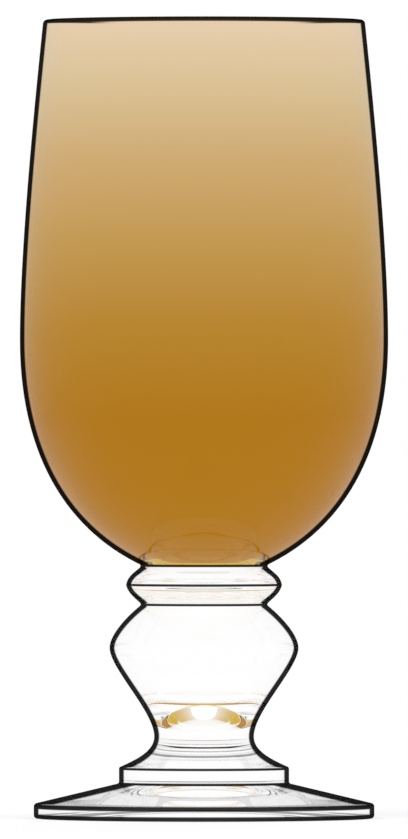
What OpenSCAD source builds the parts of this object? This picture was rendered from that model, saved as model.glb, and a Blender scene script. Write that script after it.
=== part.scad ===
// All-purpose goblet: one piece of pressed glass, turned about the Z axis.
// A deep bowl stands on a knop, a baluster stem, a stepped collar and a shallow cone of a foot.
// The origin is on the table, under the middle of the foot. Lengths are in millimetres.

/* [Bowl] */
// Outside diameter at the rim
rim_d = 68.6; // [62:0.2:76]
// Outside diameter of the belly, the widest part of the bowl
belly_d = 78.4; // [77:0.2:88]
// Height from the belly up to the top of the rim
side_h = 68.2; // [50:0.2:90]
// Height from the bowl's base up to the belly
cup_h = 48; // [42:0.2:60]
// How far the side leans in at the rim, in degrees
rim_lean = 6; // [2:0.2:9]
// Thickness of the wall at the rim
rim_wall = 1.8; // [1.2:0.1:2.6]
// Thickness of the wall at the belly
belly_wall = 2.4; // [1.8:0.1:3.4]
// Thickness of the wall at the bowl's base
base_wall = 2.6; // [1.8:0.1:4]
// Diameter of the round tip at the bottom of the bowl's inside
tip_d = 18; // [10:0.5:22]

/* [Stem] */
// Diameter of the crease between the bowl and the knop
bowl_crease_d = 26.4; // [24:0.2:29]
// Diameter of the knop at its edge
knop_d = 33.2; // [31.4:0.2:36]
// Height of the knop above its edge
knop_top_h = 4.1; // [3.2:0.1:6]
// Height of the knop below its edge
knop_base_h = 4.2; // [3.2:0.1:6]
// Turn of the knop's outline at its edge, in degrees: more makes the edge plainer
knop_edge_turn = 24; // [10:1:40]
// Diameter of the crease between the knop and the shoulder
stem_crease_d = 26.6; // [24:0.2:29]
// Diameter of the baluster's shoulder
shoulder_d = 40.2; // [36:0.2:46]
// Height from the shoulder up to the crease above it
shoulder_h = 9.2; // [7:0.1:13]
// Diameter of the baluster's waist
waist_d = 21.2; // [16:0.2:25]
// Height from the waist up to the shoulder
taper_h = 18.9; // [14:0.1:30]
// Height from the collar up to the waist
flare_h = 6.55; // [5:0.05:10]

/* [Foot] */
// Diameter of the collar under the stem
collar_d = 36.2; // [32:0.2:42]
// Height of the collar's straight side
collar_h = 3.4; // [2:0.1:6]
// Diameter of the foot
foot_d = 72.5; // [60:0.5:82]
// Height of the sloping top of the foot
foot_slope_h = 4.35; // [3:0.05:8]
// Height of the foot's upright edge
foot_edge_h = 3.1; // [2:0.1:5]
// Diameter of the hollow under the foot, which leaves a flat ring to stand on
hollow_d = 62; // [40:0.5:66]
// Depth of the hollow under the foot
hollow_h = 2.2; // [1:0.1:3]

/* [Softened edges] */
// Radius in the creases above and below the knop
crease_r = 0.45; // [0.2:0.05:0.8]
// Radius on the knop's edge
knop_edge_r = 0.8; // [0.3:0.05:1.5]
// Radius on the collar's edges
collar_edge_r = 0.5; // [0.2:0.05:0.9]
// Radius on the foot's edges
foot_edge_r = 0.7; // [0.3:0.05:1.2]

/* [Hidden] */

$fn = 180;
long_steps = 36;  // straight steps along a long curve of the outline
short_steps = 16; // the same along a short one
edge_steps = 6;   // steps round a softened edge
lip_steps = 6;    // steps round each half of the lip
above_rim = 1;    // how far the cut for the inside runs on above the rim

clear_glass = [0.88, 0.91, 0.92, 0.4];
amber_glass = [0.78, 0.56, 0.20, 0.6];

// Heights above the table, stacked up section by section
foot_shoulder_z = foot_edge_h;
collar_base_z = foot_shoulder_z + foot_slope_h;
collar_top_z = collar_base_z + collar_h;
waist_z = collar_top_z + flare_h;
shoulder_z = waist_z + taper_h;
stem_crease_z = shoulder_z + shoulder_h;
knop_z = stem_crease_z + knop_base_h;
bowl_base_z = knop_z + knop_top_h;
belly_z = bowl_base_z + cup_h;
rim_z = belly_z + side_h;

// Points of the outline, as distance from the axis and height
foot_bottom = [hollow_d / 2, 0];
foot_corner = [foot_d / 2, 0];
foot_shoulder = [foot_d / 2, foot_shoulder_z];
collar_base = [collar_d / 2, collar_base_z];
collar_top = [collar_d / 2, collar_top_z];
waist = [waist_d / 2, waist_z];
shoulder = [shoulder_d / 2, shoulder_z];
stem_crease = [stem_crease_d / 2, stem_crease_z];
knop_edge = [knop_d / 2, knop_z];
bowl_crease = [bowl_crease_d / 2, bowl_base_z];
belly = [belly_d / 2, belly_z];
lip_middle = [rim_d / 2 - rim_wall / 2, rim_z - rim_wall / 2];

function towards(angle) = [cos(angle), sin(angle)];
function unit(v) = v / norm(v);
function after_first(points) = [for (i = [1 : len(points) - 1]) points[i]];

// Slope of the cup at the bowl's base, outside and inside, in degrees
cup_slope = 25.5;

// Directions of the outline where it leaves or meets a point, going up the glass
up = towards(90);
flare_start = towards(156);
shoulder_end = towards(142);
knop_base_start = towards(49);
knop_base_end = towards(90 - knop_edge_turn / 2);
knop_top_start = towards(90 + knop_edge_turn / 2);
knop_top_end = towards(138);
cup_start = towards(cup_slope);
side_end = towards(90 + rim_lean);

// How long each curve keeps to its first and last directions, as shares of its height
flare_pulls = [0.60, 0.48];
taper_pulls = [0.28, 0.23];
shoulder_pulls = [0.31, 0.40];
knop_base_pulls = [0.36, 0.48];
knop_top_pulls = [0.49, 0.60];
cup_pulls = [0.41, 0.46];
side_pulls = [0.23, 0.41];
round_tip_pulls = [1.53, 1.53];
inside_cup_pulls = [0.42, 0.52];

// A smooth curve from a to b, which leaves a in one direction and runs into b in another
function curve(a, b, from_a, into_b, pulls, steps) =
    let (
        reach = abs(b[1] - a[1]),
        a_handle = a + pulls[0] * reach * from_a,
        b_handle = b - pulls[1] * reach * into_b
    )
    [for (i = [0 : steps])
        let (t = i / steps, s = 1 - t)
        s^3 * a + 3 * s^2 * t * a_handle + 3 * s * t^2 * b_handle + t^3 * b];

// The arc that softens the corner where the stretch below ends and the stretch above starts
function soft_corner(below, above, radius) =
    let (
        last = len(below) - 1,
        corner = below[last],
        back = unit(below[last - 1] - corner),
        on = unit(above[1] - corner),
        half = acos(back * on) / 2,
        room = min(norm(below[0] - corner), norm(above[len(above) - 1] - corner)) / 2,
        cut = min(radius / tan(half), room),
        middle = corner + unit(back + on) * cut / cos(half),
        first_spoke = corner + cut * back - middle,
        last_spoke = corner + cut * on - middle,
        turn = 180 - 2 * half
    )
    [for (i = [0 : edge_steps])
        let (t = i / edge_steps)
        middle + (sin((1 - t) * turn) * first_spoke + sin(t * turn) * last_spoke) / sin(turn)];

// The points of a stretch that lie clear of the arcs at its two ends
function clear_of(points, first_arc, last_arc) =
    let (
        start = points[0],
        end = points[len(points) - 1],
        start_cut = norm(first_arc[edge_steps] - start),
        end_cut = norm(last_arc[0] - end)
    )
    [for (p = points) if (norm(p - start) > start_cut && norm(p - end) > end_cut) p];

// The outline in stretches, from the ring that the glass stands on up to the rim
ring_line = [foot_bottom, foot_corner];
edge_line = [foot_corner, foot_shoulder];
slope_line = [foot_shoulder, collar_base];
collar_line = [collar_base, collar_top];
baluster_curve = concat(
    curve(collar_top, waist, flare_start, up, flare_pulls, short_steps),
    after_first(curve(waist, shoulder, up, up, taper_pulls, long_steps)),
    after_first(curve(shoulder, stem_crease, up, shoulder_end, shoulder_pulls, short_steps))
);
knop_base_curve = curve(stem_crease, knop_edge, knop_base_start, knop_base_end, knop_base_pulls, short_steps);
knop_top_curve = curve(knop_edge, bowl_crease, knop_top_start, knop_top_end, knop_top_pulls, short_steps);
cup_curve = curve(bowl_crease, belly, cup_start, up, cup_pulls, long_steps);
side_curve = curve(belly, lip_middle + towards(rim_lean) * rim_wall / 2, up, side_end, side_pulls, long_steps);

// The softened corners between those stretches
foot_corner_arc = soft_corner(ring_line, edge_line, foot_edge_r);
foot_shoulder_arc = soft_corner(edge_line, slope_line, foot_edge_r);
collar_base_arc = soft_corner(slope_line, collar_line, collar_edge_r);
collar_top_arc = soft_corner(collar_line, baluster_curve, collar_edge_r);
stem_crease_arc = soft_corner(baluster_curve, knop_base_curve, crease_r);
knop_edge_arc = soft_corner(knop_base_curve, knop_top_curve, knop_edge_r);
bowl_crease_arc = soft_corner(knop_top_curve, cup_curve, crease_r);

// A solid turned about the axis, from an outline given upwards
module turned(outline) {
    rotate_extrude()
        polygon(concat(
            [[0, outline[0][1]]],
            outline,
            [[0, outline[len(outline) - 1][1]]]
        ));
}

// Foot: a flat ring round a shallow hollow, an upright edge, a sloping top and the collar
module foot() {
    hollow_bend_r = (hollow_h^2 + (hollow_d / 2)^2) / (2 * hollow_h);
    color(clear_glass)
    difference() {
        turned(concat(foot_corner_arc, foot_shoulder_arc, collar_base_arc, collar_top_arc));
        translate([0, 0, hollow_h - hollow_bend_r])
            sphere(r = hollow_bend_r);
    }
}

// Baluster: a flare up from the collar, a waist, and a taper out to a high shoulder
module baluster() {
    color(clear_glass)
    turned(concat(
        [collar_top_arc[edge_steps]],
        clear_of(baluster_curve, collar_top_arc, stem_crease_arc),
        [stem_crease_arc[0]]
    ));
}

// Knop: a bead with an edge round its middle, between two creases
module knop() {
    color(clear_glass)
    turned(concat(
        stem_crease_arc,
        clear_of(knop_base_curve, stem_crease_arc, knop_edge_arc),
        knop_edge_arc,
        clear_of(knop_top_curve, knop_edge_arc, bowl_crease_arc),
        [bowl_crease_arc[0]]
    ));
}

// Half of the lip's round, from the side at one angle up to its top
function lip_half(angle) =
    [for (i = [1 : lip_steps])
        lip_middle + towards(angle + (90 - angle) * i / lip_steps) * rim_wall / 2];

// Bowl: a cup, and a side that leans in from the belly to a rounded lip
module bowl() {
    color(amber_glass)
    turned(concat(
        bowl_crease_arc,
        clear_of(cup_curve, bowl_crease_arc, [belly]),
        side_curve,
        lip_half(rim_lean)
    ));
}

// Inside of the bowl: a round tip in the knop, then a cup and a side that follow the outside up to the lip
module bowl_inside() {
    tip_edge_z = bowl_base_z + base_wall / cos(cup_slope) - (bowl_crease_d - tip_d) / 2 * tan(cup_slope);
    tip_edge = [tip_d / 2, tip_edge_z];
    tip_bottom = [0, tip_edge_z - tip_d / 2 * tan(cup_slope / 2)];
    inside_belly = belly - [belly_wall, 0];
    inside_rim = lip_middle - towards(rim_lean) * rim_wall / 2;
    turned(concat(
        curve(tip_bottom, tip_edge, towards(0), cup_start, round_tip_pulls, short_steps),
        after_first(curve(tip_edge, inside_belly, cup_start, up, inside_cup_pulls, long_steps)),
        after_first(curve(inside_belly, inside_rim, up, side_end, side_pulls, long_steps)),
        lip_half(rim_lean + 180),
        [lip_middle + [0, rim_wall / 2 + above_rim]]
    ));
}

// The whole glass is one solid
module goblet() {
    difference() {
        union() {
            foot();
            baluster();
            knop();
            bowl();
        }
        bowl_inside();
    }
}

goblet();
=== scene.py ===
import math

import bmesh
import bpy
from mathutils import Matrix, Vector


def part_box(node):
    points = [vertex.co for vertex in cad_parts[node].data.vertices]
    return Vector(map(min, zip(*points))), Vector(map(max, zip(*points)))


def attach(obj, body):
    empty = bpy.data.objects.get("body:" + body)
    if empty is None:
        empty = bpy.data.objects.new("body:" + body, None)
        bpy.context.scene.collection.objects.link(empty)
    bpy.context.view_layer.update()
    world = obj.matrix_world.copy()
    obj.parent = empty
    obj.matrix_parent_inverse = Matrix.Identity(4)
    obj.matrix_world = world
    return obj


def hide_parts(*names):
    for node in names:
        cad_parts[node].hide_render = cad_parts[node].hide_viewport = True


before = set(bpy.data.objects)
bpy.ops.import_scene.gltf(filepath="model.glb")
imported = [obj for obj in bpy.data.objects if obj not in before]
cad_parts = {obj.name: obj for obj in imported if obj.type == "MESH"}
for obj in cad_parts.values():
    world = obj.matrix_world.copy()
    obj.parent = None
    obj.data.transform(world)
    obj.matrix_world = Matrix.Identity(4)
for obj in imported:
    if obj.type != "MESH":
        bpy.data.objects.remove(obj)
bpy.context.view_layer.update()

# The goblet is one piece of pressed glass, round about its axis and fire-polished.
# A lustre sprayed on the outside of the bowl is deep amber round its base and fades out towards the rim.
# The knop, the baluster stem, the collar and the foot stay clear.
turns = 256
same_place = 1e-7
belly_z = 0.102
bowl_base_z = 0.0538
knop_z = 0.0497
stem_crease_z = 0.0455
collar_top_z = 0.01085
collar_base_z = 0.00745
foot_shoulder_z = 0.0031
inner_wall, clear_wall, amber_wall = range(3)

cad_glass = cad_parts["goblet"]
rim_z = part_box("goblet")[1].z

# The outline is the seam that runs up one side of the CAD piece, and it is spun into a smooth wall
shell = bmesh.new()
shell.from_mesh(cad_glass.data)
bmesh.ops.remove_doubles(shell, verts=shell.verts, dist=same_place)
bmesh.ops.bisect_plane(
    shell,
    geom=shell.verts[:] + shell.edges[:] + shell.faces[:],
    dist=same_place,
    plane_no=(0, 1, 0),
    clear_inner=True,
    clear_outer=True,
)
behind_axis = [v for v in shell.verts if v.co.x < -same_place]
bmesh.ops.delete(shell, geom=behind_axis, context="VERTS")
bmesh.ops.spin(
    shell,
    geom=shell.verts[:] + shell.edges[:],
    axis=(0, 0, 1),
    angle=math.tau,
    steps=turns,
    use_merge=True,
)
bmesh.ops.remove_doubles(shell, verts=shell.verts, dist=same_place)
bmesh.ops.recalc_face_normals(shell, faces=shell.faces)
for face in shell.faces:
    centre = face.calc_center_median()
    face.smooth = True
    if face.normal.dot(Vector((centre.x, centre.y, 0))) <= 0:
        face.material_index = inner_wall
    elif centre.z > bowl_base_z:
        face.material_index = amber_wall
    else:
        face.material_index = clear_wall
glass = bpy.data.objects.new("glass", bpy.data.meshes.new("glass"))
shell.to_mesh(glass.data)
shell.free()
bpy.context.collection.objects.link(glass)
glass.modifiers.new("even shading", "WEIGHTED_NORMAL")


class Maths:
    """A number that varies over a surface: arithmetic on it adds Math nodes to its finish."""

    def __init__(self, tree, socket):
        self.tree = tree
        self.socket = socket

    def work_out(self, operation, *values):
        sockets = dict(enumerate(values))
        return self.tree.out("Math", {"operation": operation}, sockets)

    def __add__(self, other):
        return self.work_out("ADD", self, other)

    def __sub__(self, other):
        return self.work_out("SUBTRACT", self, other)

    def __rsub__(self, other):
        return self.work_out("SUBTRACT", other, self)

    def __mul__(self, other):
        return self.work_out("MULTIPLY", self, other)

    def __truediv__(self, other):
        return self.work_out("DIVIDE", self, other)

    def __pow__(self, other):
        return self.work_out("POWER", self, other)

    __radd__ = __add__
    __rmul__ = __mul__

    def size(self):
        return self.work_out("ABSOLUTE", self)

    def least(self, other):
        return self.work_out("MINIMUM", self, other)

    def most(self, other):
        return self.work_out("MAXIMUM", self, other)

    def ease(self, start, end):
        """0 at start and 1 at end, with a soft run between them."""
        limits = {"Value": self, "From Min": start, "From Max": end}
        return self.tree.out("MapRange", {"interpolation_type": "SMOOTHSTEP"}, limits)


class Tree:
    """The nodes of one finish, or of the light in the room."""

    def __init__(self, owner):
        owner.use_nodes = True
        self.tree = owner.node_tree
        self.tree.nodes.clear()

    def node(self, kind, settings, sockets):
        """Any node: its settings come first, then the values or links of its sockets."""
        made = self.tree.nodes.new("ShaderNode" + kind)
        for name, value in settings.items():
            if name == "stops":
                self.stops(made.color_ramp, value)
            else:
                setattr(made, name, value)
        for name, value in sockets.items():
            if isinstance(value, Maths):
                self.tree.links.new(value.socket, made.inputs[name])
            elif isinstance(value, bpy.types.NodeSocket):
                self.tree.links.new(value, made.inputs[name])
            else:
                made.inputs[name].default_value = value
        return made

    def stops(self, ramp, stops):
        while len(ramp.elements) < len(stops):
            ramp.elements.new(1)
        for element, (place, colour) in zip(ramp.elements, stops):
            element.position = place
            element.color = colour

    def out(self, kind, settings, sockets, outlet=0):
        """Any node too, but what comes back is its value, to go on with."""
        return Maths(self, self.node(kind, settings, sockets).outputs[outlet])


def linear(red, green, blue):
    """A colour as a screen writes it, from 0 to 255, turned into amounts of light."""
    shares = [c / 255 for c in (red, green, blue)]
    return tuple(c / 12.92 if c <= 0.04045 else ((c + 0.055) / 1.055) ** 2.4 for c in shares) + (1,)


def lip_edge(z, skim):
    """The mask of painted shade on the rounded lip: 1 where the eye skims it."""
    lip = 0.0009
    lip_line = 0.0003
    full_line = 0.6 * lip_line
    on_lip = z.ease(rim_z - 1.1 * lip, rim_z - 0.9 * lip)
    return (lip * skim * skim / 2).ease(lip_line, full_line) * on_lip


def outer_edge(tree, x, y, z, skim):
    """The mask of painted shade on the outside: 1 where the eye skims it, and on painted dark lines in its
    creases and along its corners.

    How wide the skimmed edge looks follows from how sharply the wall bends away from the eye: round the axis
    everywhere, and hardly at all up the bowl's straight side, which counts when it is seen from above.
    """
    edge_width = 0.0011
    full_width = 0.75 * edge_width
    belly_run = 0.01
    straightness = 0.94
    least_bend = 0.05
    thin = 0.00024
    thick = 0.00048
    line_fade = 1.3
    line_full = 0.8
    normal = tree.node("NewGeometry", {}, {}).outputs["Normal"]
    lean = tree.out("SeparateXYZ", {}, {"Vector": normal}, "Z")
    upright = (1 - lean * lean) ** 0.5
    radius = (x * x + y * y) ** 0.5
    round_axis = tree.node("CombineXYZ", {}, {"X": y / radius * -1, "Y": x / radius}).outputs["Vector"]
    along_turn = 1 - tree.out("LayerWeight", {}, {"Blend": 0.5, "Normal": round_axis}, "Facing")
    straight_side = straightness * z.ease(belly_z - belly_run, belly_z + belly_run)
    bend = (upright + least_bend) * (1 - straight_side * (1 - along_turn * along_turn))
    from_edge = radius * skim * skim / (2 * bend)
    edge = from_edge.ease(edge_width, full_width)
    # Painted dark lines: shade painted on the rim, at the bowl's base, round the knop, in the stem's crease,
    # at the collar's top and base, on the foot's shoulder, and along the foot's base, where it also stands
    # in for the contact shadow
    for line_z, half_width in (
        (rim_z - thick, thick),
        (bowl_base_z, thin),
        (knop_z, thin),
        (stem_crease_z, thin),
        (collar_top_z - thin, thin),
        (collar_base_z, thin),
        (foot_shoulder_z - thick, thick),
        (thick, thick),
    ):
        off_line = (z - line_z).size()
        edge = edge.most(off_line.ease(half_width * line_fade, half_width * line_full))
    return edge


def glass_finish(name, outside, tint_stops=None):
    """Clear glass with the slight ripple of pressing, and with a tint up the bowl where its stops are given.

    A near-black coat paints the shade that clear glass shows where it bends the light away: at the edge that
    the eye skims, and on the outside as painted dark lines in the creases and along the corners.
    """
    glass_bend = 1.5
    mirroring = (0.35, 0.35, 0.35, 1)
    # The near-black coat below is painted shade: it darkens the glass where the eye skims it, and in painted
    # lines at its creases and corners
    painted_shade_tint = (0.02, 0.02, 0.02, 1)
    painted_shade_share = 0.98
    ripple_scale = 60.0
    ripple_depth = 0.00001
    finish = bpy.data.materials.new(name)
    tree = Tree(finish)
    place = tree.node("TexCoord", {}, {}).outputs["Object"]
    x, y, z = [Maths(tree, out) for out in tree.node("SeparateXYZ", {}, {"Vector": place}).outputs]
    skim = 1 - tree.out("LayerWeight", {}, {"Blend": 0.5}, "Facing")
    edge = lip_edge(z, skim)
    if outside:
        edge = edge.most(outer_edge(tree, x, y, z, skim))
    from_inside = tree.out("NewGeometry", {}, {}, "Backfacing")
    tint = (1, 1, 1, 1)
    if tint_stops:
        height = (z - bowl_base_z) / (rim_z - bowl_base_z)
        tint = tree.out("ValToRGB", {"stops": tint_stops}, {"Fac": height})
    ripple = tree.out("TexNoise", {}, {"Vector": place, "Scale": ripple_scale, "Detail": 1.0})
    waves = tree.node("Bump", {}, {"Strength": 1.0, "Distance": ripple_depth, "Height": ripple})
    shader = tree.node("BsdfPrincipled", {}, {
        "Base Color": tint,
        "Normal": waves.outputs["Normal"],
        "Roughness": 0.0,
        "IOR": glass_bend,
        "Specular Tint": mirroring,
        "Transmission Weight": 1.0,
        # The coat weight is the mask of painted shade, on faces seen from outside only
        "Coat Weight": edge * (1 - from_inside) * painted_shade_share,
        "Coat Roughness": 0.0,
        "Coat IOR": 1.0,
        "Coat Tint": painted_shade_tint,
    })
    tree.node("OutputMaterial", {}, {"Surface": shader.outputs["BSDF"]})
    return finish


amber_stops = [
    (0.0, linear(177, 118, 5)),
    (0.27, linear(177, 118, 5)),
    (0.44, linear(184, 133, 42)),
    (0.6, linear(196, 153, 80)),
    (0.75, linear(208, 172, 115)),
    (0.88, linear(219, 194, 149)),
    (1.0, linear(233, 207, 175)),
]
# The finishes go on in the order in which the walls are numbered above
glass.data.materials.append(glass_finish("clear glass inside", outside=False))
glass.data.materials.append(glass_finish("clear glass", outside=True))
glass.data.materials.append(glass_finish("amber lustre", outside=True, tint_stops=amber_stops))
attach(glass, "root")
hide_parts("goblet")

# The table is a plain white board. Near the goblet it shows some of its shading, and so the shadow on it.
# Further out it is pure white, and through the glass nearly so.
board_white = (0.95, 0.95, 0.95, 1)
least_white = 0.65
through_white = 0.9
mirror_light = 0.55
shaded_to = 0.15
white_from = 0.45
floor_mesh = bmesh.new()
bmesh.ops.create_circle(floor_mesh, cap_ends=True, segments=96, radius=8)
floor = bpy.data.objects.new("table", bpy.data.meshes.new("table"))
floor_mesh.to_mesh(floor.data)
floor_mesh.free()
bpy.context.collection.objects.link(floor)


def seen(tree):
    """How far the surroundings are seen, straight on or through glass, and how far they are mirrored in it.

    Both are 0 for the light that falls on a matt surface.
    """
    path = tree.node("LightPath", {}, {})
    camera, glossy, through, depth = [
        Maths(tree, path.outputs[name])
        for name in ("Is Camera Ray", "Is Glossy Ray", "Is Transmission Ray", "Diffuse Depth")
    ]
    direct = camera.most(through)
    clear_way = 1 - depth.least(1)
    return direct * clear_way, glossy * (1 - direct) * clear_way


board = bpy.data.materials.new("white board")
tree = Tree(board)
place = tree.node("TexCoord", {}, {}).outputs["Object"]
away = tree.out("VectorMath", {"operation": "LENGTH"}, {0: place}, "Value")
seen_direct, seen_mirrored = seen(tree)
through_glass = tree.out("LightPath", {}, {}, "Is Transmission Ray")
near_white = least_white + (through_white - least_white) * through_glass
whiteness = near_white + (1 - near_white) * away.ease(shaded_to, white_from)
white_share = whiteness * (seen_direct + seen_mirrored)
brightness = 1 - (1 - mirror_light) * seen_mirrored
matt = tree.node("BsdfPrincipled", {}, {
    "Base Color": board_white,
    "Roughness": 1.0,
    "Specular IOR Level": 0.0,
})
glow = tree.node("Emission", {}, {"Color": brightness, "Strength": 1.0})
mixed = tree.node("MixShader", {}, {0: white_share, 1: matt.outputs["BSDF"], 2: glow.outputs["Emission"]})
tree.node("OutputMaterial", {}, {"Surface": mixed.outputs["Shader"]})
floor.data.materials.append(board)

# The room is white wherever it is seen, straight on or through the glass, and darker where it is mirrored.
# Matt things get a plain, even light from it.
plain_light = 0.7
room = bpy.data.worlds.new("studio")
bpy.context.scene.world = room
tree = Tree(room)
seen_direct, seen_mirrored = seen(tree)
strength = plain_light + (1 - plain_light) * seen_direct + (mirror_light - plain_light) * seen_mirrored
sky = tree.node("Background", {}, {"Color": (1, 1, 1, 1), "Strength": strength})
tree.node("OutputWorld", {}, {"Surface": sky.outputs["Background"]})


# Three large soft lamps stand round the table, two in front and one behind.
# The glass neither shows nor mirrors them, so they leave no patches on it.
def softbox(name, place, aim, width, height, power):
    """A soft lamp on a stand, turned to what it is aimed at."""
    lamp = bpy.data.lights.new(name, "AREA")
    lamp.shape = "RECTANGLE"
    lamp.size = width
    lamp.size_y = height
    lamp.energy = power
    stand = bpy.data.objects.new(name, lamp)
    stand.location = place
    stand.rotation_euler = (Vector(aim) - Vector(place)).to_track_quat("-Z", "Y").to_euler()
    stand.visible_glossy = False
    stand.visible_transmission = False
    bpy.context.collection.objects.link(stand)


halfway_up = (0, 0, rim_z / 2)
softbox("key", (-0.9, -0.9, 1.1), halfway_up, width=0.7, height=0.9, power=9)
softbox("fill", (1.1, -0.4, 0.8), halfway_up, width=0.7, height=0.9, power=5)
softbox("back", (0.2, 1.2, 1.0), halfway_up, width=0.9, height=0.6, power=5)

# The camera looks level at the goblet through a very long lens, so that its sides draw nearly true.
# Its place follows from where the rim, the foot and the axis lie in the picture.
picture_width = 408
picture_height = 839
goblet_top_px = 19.7
goblet_base_px = 818.3
goblet_axis_px = 204.03
sensor_mm = 36
lens_mm = 800
pixel = rim_z / (goblet_base_px - goblet_top_px)
distance = picture_height * pixel * lens_mm / sensor_mm
view = bpy.data.cameras.new("camera")
view.sensor_fit = "AUTO"
view.sensor_width = sensor_mm
view.lens = lens_mm
view.clip_start = 0.1
view.clip_end = 50
camera = bpy.data.objects.new("camera", view)
camera.location = (
    (picture_width / 2 - goblet_axis_px) * pixel,
    -distance,
    (goblet_base_px - picture_height / 2) * pixel,
)
camera.rotation_euler = (math.radians(90), 0, 0)
bpy.context.collection.objects.link(camera)
bpy.context.scene.camera = camera
bpy.context.scene.view_settings.view_transform = "Standard"

# Light that is caught in solid glass turns many times before it gets out, so it is followed for many steps.
# After the first few, light that has grown faint may be dropped.
light_steps = 64
sure_steps = 6
bpy.context.scene.cycles.max_bounces = light_steps
bpy.context.scene.cycles.min_light_bounces = sure_steps
bpy.context.scene.cycles.transmission_bounces = light_steps
bpy.context.scene.cycles.glossy_bounces = light_steps
